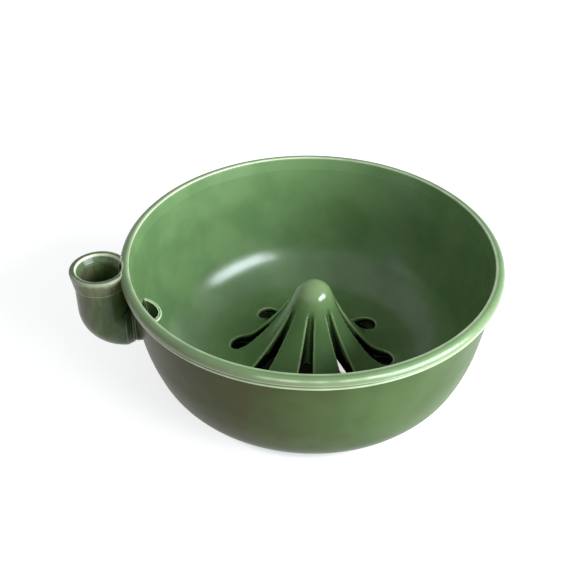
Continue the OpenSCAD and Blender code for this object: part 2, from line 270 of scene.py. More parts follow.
def melt_glaze(mesh, shows=None, spread=2, thin_from=0.12, thin_to=0.42, pool_from=0.05, pool_to=0.3):
    """Works out where the melted glaze ran thin, over sharp edges, and where it pooled, in hollows.

    Each vertex's bend is measured against its neighbours, in 1/mm, spread along the surface and kept
    as the attributes thin and pool. shows fades it out on faces that are hidden in a joint."""
    count = len(mesh.vertices)
    spots = spots_of(mesh)
    ways = np.empty(count * 3)
    mesh.vertex_normals.foreach_get("vector", ways)
    ways = ways.reshape(-1, 3)
    ends = np.empty(len(mesh.edges) * 2, int)
    mesh.edges.foreach_get("vertices", ends)
    a, b = ends.reshape(-1, 2).T
    step = spots[a] - spots[b]
    length = np.maximum((step ** 2).sum(1), 1e-12)
    degree = np.maximum(np.bincount(a, minlength=count) + np.bincount(b, minlength=count), 1)
    bend_a = (step * ways[a]).sum(1) / length * mm
    bend_b = -(step * ways[b]).sum(1) / length * mm
    bend = (np.bincount(a, bend_a, count) + np.bincount(b, bend_b, count)) / degree * 2
    for _ in range(spread):
        around = (np.bincount(a, bend[b], count) + np.bincount(b, bend[a], count)) / degree
        bend = 0.4 * bend + 0.6 * around
    seen = np.ones(count) if shows is None else shows(spots)
    lay_on(mesh, "thin", smooth_step(bend, thin_from, thin_to) * seen)
    lay_on(mesh, "pool", smooth_step(-bend, pool_from, pool_to) * seen)


def glaze_film_group():
    """The melted green glaze over the body: clouds, flecks, thin pale edges, pools and runs.

    The attribute earth says where the brown body shows through it, on the bowl's outside strengthened
    to the left as painted shade, and shade lays painted shade, nearly black, in the slots and by the wall."""
    film = bpy.data.node_groups.new("glaze film", "ShaderNodeTree")
    for label, kind in {"Body": "Color", "Deep": "Color", "Thin": "Color", "Pooled": "Color",
                        "Earth": "Color", "Cloud size": "Float", "Run strength": "Float",
                        "Polish": "Float"}.items():
        film.interface.new_socket(name=label, in_out="INPUT", socket_type="NodeSocket" + kind)
    for label, kind in {"Color": "Color", "Roughness": "Float", "Height": "Float"}.items():
        film.interface.new_socket(name=label, in_out="OUTPUT", socket_type="NodeSocket" + kind)
    given = film.nodes.new("NodeGroupInput").outputs
    spot = place(film, "ShaderNodeTexCoord").outputs["Object"]
    step = partial(math_step, film)
    painted_shade_colour = (0.004, 0.008, 0.003, 1)

    def blend(low, high, share):
        mix = place(film, "ShaderNodeMix", data_type="RGBA")
        for socket, feed in ((mix.inputs[0], share), (mix.inputs[6], low), (mix.inputs[7], high)):
            if isinstance(feed, bpy.types.NodeSocket):
                film.links.new(feed, socket)
            else:
                socket.default_value = feed
        return mix.outputs[2]

    def noise(scale, detail, vector=spot):
        feeds = {"Vector": vector, "Scale": scale, "Detail": detail}
        return place(film, "ShaderNodeTexNoise", feeds).outputs[0]

    def spread_out(value, low, high):
        return place(film, "ShaderNodeMapRange", {
            "Value": value, "From Min": low, "From Max": high}, interpolation_type="SMOOTHSTEP").outputs[0]

    thin, pool, earth, shade = (place(film, "ShaderNodeAttribute", attribute_name=name).outputs["Fac"]
                                for name in ("thin", "pool", "earth", "shade"))
    cloud = spread_out(noise(step("DIVIDE", 1.0, given["Cloud size"]), 3.0), 0.35, 0.65)
    fleck = spread_out(noise(1300.0, 2.0), 0.55, 0.75)
    drawn = place(film, "ShaderNodeVectorMath", {0: spot, 1: (1, 1, 0.22)}, operation="MULTIPLY").outputs[0]
    run = spread_out(noise(420.0, 2.0, drawn), 0.42, 0.62)
    patchy = step("ADD", 0.7, step("MULTIPLY", spread_out(noise(90.0, 3.0), 0.4, 0.62), 0.3))
    broken = step("ADD", 0.72, step("MULTIPLY", noise(260.0, 2.0), 0.5))
    base = blend(given["Body"], given["Deep"], cloud)
    base = blend(base, given["Deep"], step("MULTIPLY", fleck, 0.3))
    base = blend(base, given["Earth"], step("MULTIPLY", earth, patchy))
    base = blend(base, given["Pooled"], step("MULTIPLY", run, given["Run strength"]))
    base = blend(base, given["Pooled"], pool)
    # Painted shade: nearly black wherever the attribute shade is laid
    base = blend(base, painted_shade_colour, shade)
    base = blend(base, given["Thin"], step("MULTIPLY", thin, broken, use_clamp=True))
    rough = step("ADD", given["Polish"], step("MULTIPLY", noise(300.0, 2.0), 0.06))
    height = step("ADD", noise(70.0, 1.0), step("MULTIPLY", noise(700.0, 1.0), 0.05))
    place(film, "NodeGroupOutput", {"Color": base, "Roughness": rough, "Height": height})
    return film


glaze_film = glaze_film_group()


def glazed(name, body, deep, thin, pooled, earth=(0.150, 0.150, 0.072), cloud_size=22 * mm,
           run_strength=0.0, polish=0.22, gloss=0.5):
    """A green glaze for one member, from its colours where it is sound, deep, thin and pooled"""
    glaze = bpy.data.materials.new(name)
    glaze.use_nodes = True
    tree = glaze.node_tree
    shader = tree.nodes["Principled BSDF"]
    shader.inputs["Metallic"].default_value = 0
    shader.inputs["IOR"].default_value = 1.52
    shader.inputs["Specular IOR Level"].default_value = gloss
    film = place(tree, "ShaderNodeGroup", node_tree=glaze_film)
    for label, value in {"Body": body, "Deep": deep, "Thin": thin, "Pooled": pooled, "Earth": earth,
                         "Cloud size": cloud_size, "Run strength": run_strength,
                         "Polish": polish}.items():
        film.inputs[label].default_value = (*value, 1) if isinstance(value, tuple) else value
    bump = place(tree, "ShaderNodeBump", {
        "Height": film.outputs["Height"], "Strength": 0.5, "Distance": 0.4 * mm})
    tree.links.new(film.outputs["Color"], shader.inputs["Base Color"])
    tree.links.new(film.outputs["Roughness"], shader.inputs["Roughness"])
    tree.links.new(bump.outputs[0], shader.inputs["Normal"])
    return glaze


pale_edge = (0.62, 0.70, 0.42)
olive_pool = (0.040, 0.070, 0.022)
wall_glaze = glazed("bowl wall glaze", body=(0.126, 0.215, 0.082), deep=(0.096, 0.176, 0.063),
                    thin=pale_edge, pooled=olive_pool, gloss=0.75)
outside_glaze = glazed("bowl outside wash", body=(0.066, 0.112, 0.037), deep=(0.050, 0.090, 0.027),
                       thin=pale_edge, pooled=olive_pool, earth=(0.068, 0.062, 0.022),
                       polish=0.3, gloss=0.06)
corner_r = bottom_corner_r()
outer_face = wall_face(corner_r, belly_r, floor_z, seat_out_r)
inner_face = wall_face(corner_r - wall_t, belly_r - wall_t, floor_top, seat_in_r)
wall_profile = ([(open_r, floor_z)] + outer_face + inner_face[::-1]
                + [(plate_r, floor_top), (plate_r, ledge_z), (open_r, ledge_z)])
thrown = {"line_depth": 0.16 * mm, "line_pitch": 6 * mm, "sway": 0.7 * mm}
wall_mesh = turned("bowl_wall", wall_profile, wall_glaze, steps=320, **thrown)


def on_stand(name, mesh):
    """A mesh in an object of its own, for the next step of its making"""
    work = bpy.data.objects.new(name, mesh)
    bpy.context.scene.collection.objects.link(work)
    return work


def spun(name, profile, steps=192):
    """A solid tool or form turned about the axis, from an open profile that starts and ends on it"""
    work = bmesh.new()
    line = [work.verts.new((r, 0, z)) for r, z in profile]
    edges = [work.edges.new(pair) for pair in zip(line, line[1:])]
    bmesh.ops.spin(work, geom=line + edges, axis=(0, 0, 1), cent=(0, 0, 0), steps=steps, angle=math.tau)
    bmesh.ops.remove_doubles(work, verts=work.verts, dist=0.005 * mm)
    bmesh.ops.recalc_face_normals(work, faces=work.faces)
    mesh = bpy.data.meshes.new(name)
    work.to_mesh(mesh)
    work.free()
    return on_stand(name, mesh)


def drill(radius, start, way, length, far_r=None):
    """A round tool that stands on the point start and runs along way, straight or tapered"""
    bit = spun("drill", [(0, 0), (radius, 0), (far_r or radius, length), (0, length)], steps=96)
    turn = Vector((0, 0, 1)).rotation_difference(way).to_matrix().to_4x4()
    bit.data.transform(Matrix.Translation(start) @ turn)
    return bit


def fit_tree(name, operation):
    """Fits a clay member to another form: cuts that away, adds it, or keeps what lies inside it"""
    tree, given = geometry_tree(name, {"Form": "Object", "Glaze": "Material"})
    form = place(tree, "GeometryNodeObjectInfo", {"Object": given["Form"]}).outputs["Geometry"]
    fit = place(tree, "GeometryNodeMeshBoolean", operation=operation, solver="EXACT")
    tree.links.new(given["Geometry"], fit.inputs["Mesh 1" if operation == "DIFFERENCE" else "Mesh 2"])
    tree.links.new(form, fit.inputs["Mesh 2"])
    finish_tree(tree, fit.outputs[0], given["Glaze"])
    return tree


cut_away = fit_tree("cut away", "DIFFERENCE")


def fitted(mesh, glaze, tree, *forms):
    """Runs one of the fitting trees on a mesh with each form in turn"""
    for form in forms:
        mesh = run_tree(on_stand("fitting", mesh), tree, {"Form": form, "Glaze": glaze})
    return mesh


port_drill = drill(tail_r, (-rim_r, 0, port_z), Vector((1, 0, 0)), rim_r - plate_r)
wall_mesh = fitted(wall_mesh, wall_glaze, cut_away, port_drill)
melt_glaze(wall_mesh, shows=lambda at: smooth_step(seat_z - at[:, 2], 0.5 * mm, 1.5 * mm)
           * smooth_step(np.hypot(at[:, 0], at[:, 1]), plate_r + 1 * mm, plate_r + 3 * mm))


def outside_of(at):
    """Where a place lies on the wall's outer skin"""
    skin_r = np.interp(at[:, 2], [z for r, z in outer_face], [r for r, z in outer_face])
    return smooth_step(np.hypot(at[:, 0], at[:, 1]), skin_r - 2 * mm, skin_r - 1 * mm)


wall_mesh.materials.append(outside_glaze)
middles = np.empty(len(wall_mesh.polygons) * 3)
wall_mesh.polygons.foreach_get("center", middles)
washed = (outside_of(middles.reshape(-1, 3)) > 0.5).astype(np.int32)
wall_mesh.polygons.foreach_set("material_index", washed)
wall_at = spots_of(wall_mesh)
# Brown earth on the outer skin, strongest to the left, which also darkens that side as painted shade
brown_and_shade_left = 0.2 + 0.8 * smooth_step(-wall_at[:, 0], -20 * mm, 60 * mm)
lay_on(wall_mesh, "earth", outside_of(wall_at) * brown_and_shade_left)
set_piece("bowl_wall_glazed", wall_mesh, "green_glaze", "bowl_wall")

# Foot ring
# A coil turned to a plain ring under the floor, with three shallow arches cut in it with a wire
# so that the water that drains through the slots can run out from under the bowl.
foot_in_r = 47 * mm
foot_out_r = 51 * mm
foot_edge_r = 1 * mm
foot_draw = 0.8 * mm
foot_glaze = glazed("foot ring glaze", body=(0.100, 0.195, 0.062), deep=(0.075, 0.150, 0.045),
                    thin=(0.42, 0.45, 0.28), pooled=olive_pool)
foot_edge_c = (foot_out_r - foot_draw - foot_edge_r, foot_edge_r)
foot_inner_r = 0.4 * mm
foot_inner_c = (foot_in_r + foot_inner_r, foot_inner_r)
foot_profile = (arc(foot_inner_c, foot_inner_r, math.pi, 1.5 * math.pi, 6)
                + arc(foot_edge_c, foot_edge_r, -math.pi / 2, 0, 10)
                + [(foot_out_r, floor_z), (foot_in_r, floor_z)])
foot_mesh = turned("foot_ring", foot_profile, foot_glaze, steps=240)


def arches_tree():
    """Cuts drain arches through a ring that stands on the table"""
    tree, given = geometry_tree("drain arches", {
        "Arches": "Int", "First turn": "Float", "Arch width": "Float", "Arch height": "Float",
        "Ring radius": "Float", "Glaze": "Material"})
    step = partial(math_step, tree)
    half_w = step("MULTIPLY", given["Arch width"], 0.5)
    squares = step("ADD", step("MULTIPLY", half_w, half_w),
                   step("MULTIPLY", given["Arch height"], given["Arch height"]))
    arch_r = step("DIVIDE", squares, step("MULTIPLY", given["Arch height"], 2.0))
    drum = place(tree, "GeometryNodeMeshCylinder", {"Vertices": 96, "Radius": arch_r, "Depth": 14 * mm})
    level = place(tree, "GeometryNodeTransform", {
        "Geometry": drum.outputs["Mesh"], "Rotation": (0, math.pi / 2, 0)})
    marks = place(tree, "GeometryNodePoints", {"Count": given["Arches"]})
    index = place(tree, "GeometryNodeInputIndex").outputs[0]
    share = step("DIVIDE", index, given["Arches"])
    turn = step("ADD", given["First turn"], step("MULTIPLY", share, math.tau))
    where = place(tree, "ShaderNodeCombineXYZ", {
        "X": step("MULTIPLY", step("COSINE", turn), given["Ring radius"]),
        "Y": step("MULTIPLY", step("SINE", turn), given["Ring radius"]),
        "Z": step("SUBTRACT", given["Arch height"], arch_r)})
    facing = place(tree, "ShaderNodeCombineXYZ", {"Z": turn})
    set_marks = place(tree, "GeometryNodeSetPosition", {
        "Geometry": marks.outputs[0], "Position": where.outputs[0]})
    drums = place(tree, "GeometryNodeInstanceOnPoints", {
        "Points": set_marks.outputs[0], "Instance": level.outputs[0], "Rotation": facing.outputs[0]})
    solid = place(tree, "GeometryNodeRealizeInstances", {"Geometry": drums.outputs[0]})
    cut = place(tree, "GeometryNodeMeshBoolean", {
        "Mesh 1": given["Geometry"], "Mesh 2": solid.outputs[0]}, operation="DIFFERENCE", solver="EXACT")
    finish_tree(tree, cut.outputs[0], given["Glaze"])
    return tree


foot_mesh = run_tree(on_stand("foot_ring", foot_mesh), arches_tree(), {
    "Arches": 3, "First turn": math.radians(60), "Arch width": 13 * mm, "Arch height": 3 * mm,
    "Ring radius": (foot_in_r + foot_out_r) / 2, "Glaze": foot_glaze})
melt_glaze(foot_mesh, shows=lambda at: smooth_step(floor_z - at[:, 2], 0.3 * mm, 1.3 * mm))
set_piece("foot_ring_glazed", foot_mesh, "deep_glaze", "foot_ring")

# Drainer cone
# Plate and hollow cone thrown as one and let into the floor. Eight grooves are carved down the
# flank with a loop tool, from just under the tip to a round end in the plate, and break through
# at the foot as slots. They were set out by eye, and the cone leans a little to the right and back.
cone_x = -0.42 * mm
cone_y = -0.21 * mm
cone_lean = (0.047, 0.024)
tip_z = floor_top + 45.7 * mm
tip_r = 9.8 * mm
tip_lean = math.radians(23.1)
flank_lean = math.radians(42)
flare_r = 19 * mm
groove_z = tip_z - 9.2 * mm
groove_lean = math.radians(12.3)
slot_reach = 37.8 * mm
slot_end_r = 5.4 * mm
# Direction of each slot in degrees, its reach, and the level below which its back lies open and is painted
# in shade
slot_turns = (31.0, 72.7, 114.8, 158.6, 207.4, 256.1, 301.7, 348.1)
slot_reaches = (39.1, 38.4, 38.9, 36.2, 35.9, 38.3, 39.9, 37.5)
slot_opens = (24, 20, 20, 26, 22, 19, 22, 24)
cone_glaze = glazed("drainer cone glaze", body=(0.116, 0.205, 0.072), deep=(0.088, 0.165, 0.055),
                    thin=(0.32, 0.43, 0.19), pooled=(0.030, 0.060, 0.020), polish=0.14,
                    gloss=0.7)
flank_drop = tip_z - floor_top - tip_r * (1 - math.sin(tip_lean)) - flare_r * (1 - math.sin(flank_lean))
flank_r = flank_drop / (math.sin(flank_lean) - math.sin(tip_lean))
flank_in_r = tip_r * math.cos(tip_lean)
flare_end_r = (flank_in_r + flank_r * (math.cos(tip_lean) - math.cos(flank_lean))
               + flare_r * math.cos(flank_lean))
flank_c = (flank_in_r + flank_r * math.cos(tip_lean),
           tip_z - tip_r * (1 - math.sin(tip_lean)) + flank_r * math.sin(tip_lean))
groove_turn = math.asin((flank_c[1] - groove_z) / flank_r)
groove_r = flank_c[0] - flank_r * math.cos(groove_turn)


def slot_tool():
    """The shape that one slot takes out: narrow at the top of its groove, round at its far end"""
    stations = ((8, 1.0), (18, 2.4), (27.5, 3.8), (33, 4.7))
    side = [(x * mm, half * mm) for x, half in stations] + [(slot_reach, slot_end_r)]
    far = arc((slot_reach, 0), slot_end_r, math.pi / 2, -math.pi / 2, 24)
    outline = side + far[1:-1] + [(x, -half) for x, half in side[::-1]]
    work = bmesh.new()
    face = work.faces.new([work.verts.new((x, y, floor_z - 2 * mm)) for x, y in outline])
    lift = bmesh.ops.extrude_face_region(work, geom=[face])
    top = [v for v in lift["geom"] if isinstance(v, bmesh.types.BMVert)]
    bmesh.ops.translate(work, verts=top, vec=(0, 0, groove_z - floor_z + 2 * mm))
    bmesh.ops.recalc_face_normals(work, faces=work.faces)
    mesh = bpy.data.meshes.new("slot tool")
    work.to_mesh(mesh)
    work.free()
    return on_stand("slot tool", mesh)


def carving_tree():
    """Carves a slot towards each mark, leaves the core standing and hollows the cone underneath"""
    tree, given = geometry_tree("slot carving", {
        "Blank": "Object", "Slot": "Object", "Core": "Object", "Hollow": "Object",
        "Slot reach": "Float", "Glaze": "Material"})

    def shape_of(label):
        return place(tree, "GeometryNodeObjectInfo", {"Object": given[label]}).outputs["Geometry"]

    spot = place(tree, "GeometryNodeInputPosition").outputs[0]
    parts = place(tree, "ShaderNodeSeparateXYZ", {0: spot}).outputs
    turn = math_step(tree, "ARCTAN2", parts["Y"], parts["X"])
    reach = place(tree, "ShaderNodeVectorMath", {0: spot}, operation="LENGTH").outputs["Value"]
    stretch = math_step(tree, "DIVIDE", reach, given["Slot reach"])
    facing = place(tree, "ShaderNodeCombineXYZ", {"Z": turn})
    size = place(tree, "ShaderNodeCombineXYZ", {"X": stretch, "Y": 1.0, "Z": 1.0})
    cuts = place(tree, "GeometryNodeInstanceOnPoints", {
        "Points": given["Geometry"], "Instance": shape_of("Slot"),
        "Rotation": facing.outputs[0], "Scale": size.outputs[0]})
    back = place(tree, "GeometryNodeInputPosition").outputs[0]
    home = place(tree, "ShaderNodeVectorMath", {0: back, "Scale": -1.0}, operation="SCALE")
    homed = place(tree, "GeometryNodeTranslateInstances", {
        "Instances": cuts.outputs[0], "Translation": home.outputs[0], "Local Space": False})
    solid = place(tree, "GeometryNodeRealizeInstances", {"Geometry": homed.outputs[0]})
    carved = place(tree, "GeometryNodeMeshBoolean", {
        "Mesh 1": shape_of("Blank"), "Mesh 2": solid.outputs[0],
        "Self Intersection": True}, operation="DIFFERENCE", solver="EXACT")
    cored = place(tree, "GeometryNodeMeshBoolean", {
        "Mesh 2": carved.outputs[0]}, operation="UNION", solver="EXACT")
    tree.links.new(shape_of("Core"), cored.inputs["Mesh 2"])
    hollowed = place(tree, "GeometryNodeMeshBoolean", {
        "Mesh 1": cored.outputs[0], "Mesh 2": shape_of("Hollow")}, operation="DIFFERENCE", solver="EXACT")
    finish_tree(tree, hollowed.outputs[0], given["Glaze"])
    return tree


flare = arc((flare_end_r, floor_top + flare_r), flare_r, -math.pi / 2, -math.pi + flank_lean, 24)
flank = arc(flank_c, flank_r, math.pi + flank_lean, math.pi + tip_lean, 24)
tip = arc((0, tip_z - tip_r), tip_r, tip_lean, math.pi / 2, 16)
trim = 1.5 * mm
blank = spun("cone blank", [(0, floor_z), (open_r + trim, floor_z), (open_r + trim, ledge_z - trim),
                            (plate_r + trim, ledge_z - trim), (plate_r + trim, floor_top)]
             + flare + flank[1:] + tip[1:])
core = spun("cone core", [(0, floor_z + 1 * mm)] + [
    (groove_r + (groove_z - z) * math.tan(groove_lean) - 0.05 * mm, z)
    for z in (floor_z + 1 * mm, groove_z)] + [(0, groove_z)])
hollow_r = 34 * mm
hollow_waist = (15.8 * mm, floor_top + 9 * mm)
hollow_tip_r = 3.4 * mm
hollow_c = (0, tip_z - 9 * mm)
hollow_lean = math.atan((hollow_waist[0] - hollow_tip_r) / (hollow_c[1] - hollow_waist[1]))
hollow = spun("cone hollow", [(0, floor_z - 1 * mm), (hollow_r, floor_z - 1 * mm), (hollow_r, floor_z),
                              hollow_waist] + arc(hollow_c, hollow_tip_r, hollow_lean, math.pi / 2, 12))
marks = bpy.data.meshes.new("slot marks")
marks.from_pydata([(reach * mm * math.cos(math.radians(t)), reach * mm * math.sin(math.radians(t)), 0)
                   for t, reach in zip(slot_turns, slot_reaches)], [], [])
tool = slot_tool()
cone_mesh = run_tree(on_stand("drainer_cone", marks), carving_tree(), {
    "Blank": blank, "Slot": tool, "Core": core, "Hollow": hollow,
    "Slot reach": slot_reach, "Glaze": cone_glaze})
for used in (blank, tool, core, hollow):
    bpy.data.objects.remove(used)


def softened(name, mesh, grain, strokes, glaze):
    """Remeshes a cut shape evenly and sponges its edges soft, as wet clay is before firing"""
    work = on_stand(name, mesh)
    even = work.modifiers.new("even skin", "REMESH")
    even.mode = "VOXEL"
    even.voxel_size = grain
    sponge = work.modifiers.new("sponge", "SMOOTH")
    sponge.factor = 0.5
    sponge.iterations = strokes
    graph = bpy.context.evaluated_depsgraph_get()
    soft = bpy.data.meshes.new_from_object(work.evaluated_get(graph), depsgraph=graph)
    bpy.data.objects.remove(work)
    soft.materials.clear()
    soft.materials.append(glaze)
    return soft


def slot_shade(at):
    """How much painted shade a vertex gets in a slot: all of its side walls, and its back below where it
    opens
    """
    reach = np.hypot(at[:, 0], at[:, 1])
    top_line = flare + flank[1:] + tip[1:]
    skin_z = np.interp(reach, [r for r, z in top_line[::-1]], [z for r, z in top_line[::-1]])
    depth = skin_z - at[:, 2]
    back_r = groove_r + (groove_z - at[:, 2]) * math.tan(groove_lean)
    beside = smooth_step(reach - back_r, 0.5 * mm, 1.5 * mm) * smooth_step(depth, 2 * mm, 5.5 * mm)
    beside = beside * smooth_step(at[:, 2], groove_z - 4 * mm, groove_z - 16 * mm)
    turn = (np.degrees(np.arctan2(at[:, 1], at[:, 0])) - slot_turns[0]) % 360 + slot_turns[0]
    opens = np.interp(turn, slot_turns + (slot_turns[0] + 360,), slot_opens + (slot_opens[0],)) * mm
    behind = smooth_step(opens - at[:, 2], -1 * mm, 2.5 * mm) * smooth_step(depth, 0.8 * mm, 2.5 * mm)
    return np.maximum(beside, behind) * smooth_step(plate_r - reach, 2 * mm, 3 * mm)


cone_mesh = softened("drainer_cone", cone_mesh, 0.55 * mm, 5, cone_glaze)
# Painted shade: the slots' side walls and open backs are laid nearly black in the glaze
lay_on(cone_mesh, "shade", slot_shade(spots_of(cone_mesh)))
# The softened skin is drawn back to the plate's true edge, and the cone is set over and leaned
for vertex in cone_mesh.vertices:
    reach = math.hypot(vertex.co.x, vertex.co.y)
    limit = plate_r if vertex.co.z > ledge_z - 0.3 * mm else open_r
    if reach > limit:
        vertex.co.xy *= limit / reach
        vertex.co.z = max(vertex.co.z, ledge_z) if reach > open_r + trim / 2 else vertex.co.z
    if reach > flare_end_r + 2 * mm and abs(vertex.co.z - floor_top) < 0.3 * mm and vertex.normal.z > 0.96:
        vertex.co.z = floor_top
    rise = max(vertex.co.z - floor_top, 0)
    loose = smooth_step(vertex.co.z, ledge_z, floor_top) * smooth_step(plate_r - reach, 1 * mm, 5 * mm)
    vertex.co.x += cone_x * loose + cone_lean[0] * rise
    vertex.co.y += cone_y * loose + cone_lean[1] * rise
melt_glaze(cone_mesh, thin_to=0.55, shows=lambda at: smooth_step(
    plate_r - np.hypot(at[:, 0], at[:, 1]), 1.5 * mm, 3 * mm))
lay_on(cone_mesh, "thin", 0.4 * smooth_step(spots_of(cone_mesh)[:, 2], tip_z - 16 * mm, tip_z - 2 * mm))
set_piece("drainer_cone_glazed", cone_mesh, "green_glaze", "drainer_cone")

# Rim bead
# A coil rolled over the wall's edge and luted down: a fine pale lip inside, a full roll outside and
# a thin ridge under it. The mouth of the pipe is let into it on the left.
ridge_r = 1.2 * mm
ridge_back = 0.6 * mm
bead_groove = 0.4 * mm
roll_r = 2.8 * mm
lip_r = 0.5 * mm
bead_flare = 1.3 * mm
mouth_r = 10.6 * mm
mouth_offset = 9.2 * mm
mouth_x = -(rim_r + mouth_offset)
ridge_c = (rim_r - ridge_back - ridge_r, seat_z + ridge_r)
roll_c = (rim_r - roll_r, rim_top - roll_r)
lip_c = (seat_in_r + bead_flare + lip_r, rim_top - lip_r)
bead_glaze = glazed("rim bead glaze", body=(0.132, 0.222, 0.088), deep=(0.104, 0.188, 0.070),
                    thin=(0.66, 0.72, 0.48), pooled=(0.045, 0.055, 0.024))
bead_face = (arc(ridge_c, ridge_r, -math.pi / 2, math.radians(30), 12)
             + [(rim_r - ridge_back - bead_groove, ridge_c[1] + ridge_r)]
             + arc(roll_c, roll_r, math.radians(-12), math.pi / 2, 18))
lip_face = arc(lip_c, lip_r, math.pi / 2, math.pi - wall_lean, 12)
lip_end_r, lip_end_z = lip_face[-1]
inside = [(lip_end_r + s * (seat_in_r - lip_end_r), lip_end_z + s * (seat_z - lip_end_z))
          for s in np.linspace(0, 1, 9)]
bead_mesh = turned("rim_bead", [(seat_out_r, seat_z)] + bead_face + lip_face + inside[1:], bead_glaze,
                   steps=320, **thrown)
mouth_drill = drill(mouth_r, (mouth_x, 0, seat_z - 5 * mm), Vector((0, 0, 1)), 20 * mm)
bead_mesh = fitted(bead_mesh, bead_glaze, cut_away, mouth_drill)


def broken_lip_and_highlight(at):
    """The pale lip varies in patches where the glaze drew back, and a painted highlight makes it whitest at
    the back left
    """
    turn = np.arctan2(at[:, 1], at[:, 0])
    # Painted highlight on the lip at the back left
    painted_highlight = smooth_step(np.cos(turn - math.radians(122)), 0.6, 0.9)
    patches = 0.5 + 0.3 * np.sin(9 * turn + 0.6) * np.sin(23 * turn) + 0.2 * np.sin(41 * turn + 1.1)
    return smooth_step(at[:, 2] - seat_z, 0.1 * mm, 0.8 * mm) * (0.38 + 0.22 * patches + 0.4 * painted_highlight)


def rolled_streaks_and_highlight(at):
    """Cream streaks on the upper side of the roll, where the glaze ran down from it, with a painted
    highlight that makes them strongest on the front
    """
    turn = np.arctan2(at[:, 1], at[:, 0])
    climb = np.degrees(np.arctan2(at[:, 2] - roll_c[1], np.hypot(at[:, 0], at[:, 1]) - roll_c[0]))
    band = smooth_step(climb, 24, 34) * smooth_step(-climb, -56, -44)
    # Painted highlight: the streaks are made strongest where the roll faces the front
    facing = smooth_step(np.cos(turn - math.radians(-97)), 0.93, 0.99)
    patches = 0.5 + 0.5 * np.sin(17 * turn + 0.9) * np.sin(31 * turn + 2.0)
    return band * (0.12 * patches + 0.4 * facing * (0.4 + 0.6 * patches))


melt_glaze(bead_mesh, shows=broken_lip_and_highlight)
bead_at = spots_of(bead_mesh)
mouth_reach = np.hypot(bead_at[:, 0] - mouth_x, bead_at[:, 1])
mouth_edge = (0.8 * smooth_step(mouth_r + 1.1 * mm - mouth_reach, 0, 0.5 * mm)
              * smooth_step(bead_at[:, 2], rim_top - 1.5 * mm, rim_top - 0.7 * mm))
lay_on(bead_mesh, "thin", np.maximum(rolled_streaks_and_highlight(bead_at), mouth_edge))
outer_roll = smooth_step(np.hypot(bead_at[:, 0], bead_at[:, 1]), roll_c[0] + 1 * mm, rim_r)
# Brown earth on the outer roll, strongest to the left, which also darkens that side as painted shade
brown_and_shade_left = 0.5 + 0.5 * smooth_step(-bead_at[:, 0], -30 * mm, 60 * mm)
lay_on(bead_mesh, "earth", 0.8 * outer_roll * brown_and_shade_left)
set_piece("rim_bead_glazed", bead_mesh, "pale_glaze", "rim_bead")

# Elbow pipe
# A thrown tube bent while leathery: it rises beside the rim, turns hard under the mouth and goes
# level to a shoulder at the wall and through it on a thinner tail. Its glaze is streaked and browner
# on the far side from the bowl, and it carries painted shade beside the wall.
pipe_r = 12 * mm
bore_r = 8.6 * mm
tail_bore_r = 7.2 * mm
bend_r = 10 * mm
shoulder_r = 10.55 * mm
spigot_r = 10.2 * mm
bend_x = mouth_x + bend_r
bend_z = port_z + bend_r
shoulder_l = 3.4 * mm
shoulder_x = bend_x + shoulder_l
lap = 0.4 * mm
collar_drop = 0.3 * mm
collar_top = rim_top - collar_drop
collar_h = 8.4 * mm
collar_z = collar_top - collar_h
spigot_h = 4.7 * mm
spigot_top = collar_z + spigot_h
pipe_glaze = glazed("elbow pipe glaze", body=(0.100, 0.145, 0.052), deep=(0.072, 0.108, 0.034),
                    thin=(0.34, 0.42, 0.26), pooled=(0.035, 0.055, 0.018), earth=(0.125, 0.115, 0.065),
                    cloud_size=9 * mm, run_strength=0.4, gloss=0.25)


def sweep_tree():
    """Sweeps a round section along a path, closed at both ends"""
    tree, given = geometry_tree("pipe sweep", {"Steps round": "Int", "Radius": "Float", "Glaze": "Material"})
    ring = place(tree, "GeometryNodeCurvePrimitiveCircle", {
        "Resolution": given["Steps round"], "Radius": given["Radius"]})
    pipe = place(tree, "GeometryNodeCurveToMesh", {
        "Curve": given["Geometry"], "Profile Curve": ring.outputs["Curve"], "Fill Caps": True})
    finish_tree(tree, pipe.outputs[0], given["Glaze"])
    return tree


sweep = sweep_tree()


def swept(name, radius, top, end_x):
    """A round bar along the pipe's centre line, from level top round the bend to end_x"""
    bend = arc((bend_x, bend_z), bend_r, math.pi, 1.5 * math.pi, 28)
    rise = [(mouth_x, z) for z in np.linspace(top, bend_z, 6)]
    points = rise[:-1] + bend + [(x, port_z) for x in np.linspace(bend_x, end_x, 4)][1:]
    line = bpy.data.curves.new(name, "CURVE")
    line.dimensions = "3D"
    path = line.splines.new("POLY")
    path.points.add(len(points) - 1)
    for point, (x, z) in zip(path.points, points):
        point.co = (x, 0, z, 1)
    mesh = run_tree(on_stand(name, line), sweep, {"Steps round": 80, "Radius": radius, "Glaze": pipe_glaze})
    face_out(mesh)
    return mesh


def tight_bend(radius):
    """The outside of the hard bend: a quarter turn of a ring so tight that its inner sides meet"""
    meet = math.acos(-bend_r / radius)
    ring = [(bend_r + radius * math.cos(a), radius * math.sin(a)) for a in np.linspace(-meet, meet, 61)]
    turns = np.linspace(0, math.pi / 2, 29)
    spots = [(bend_x - d * math.cos(t), y, bend_z - d * math.sin(t)) for t in turns for d, y in ring]
    count = len(ring)
    sides = [(row * count + i, row * count + i + 1, (row + 1) * count + i + 1, (row + 1) * count + i)
             for row in range(len(turns) - 1) for i in range(count - 1)]
    ends = [tuple(range(count)), tuple(range(len(spots) - count, len(spots)))]
    mesh = bpy.data.meshes.new("tight bend")
    mesh.from_pydata(spots, [], sides + ends)
    face_out(mesh)
    return on_stand("tight bend", mesh)


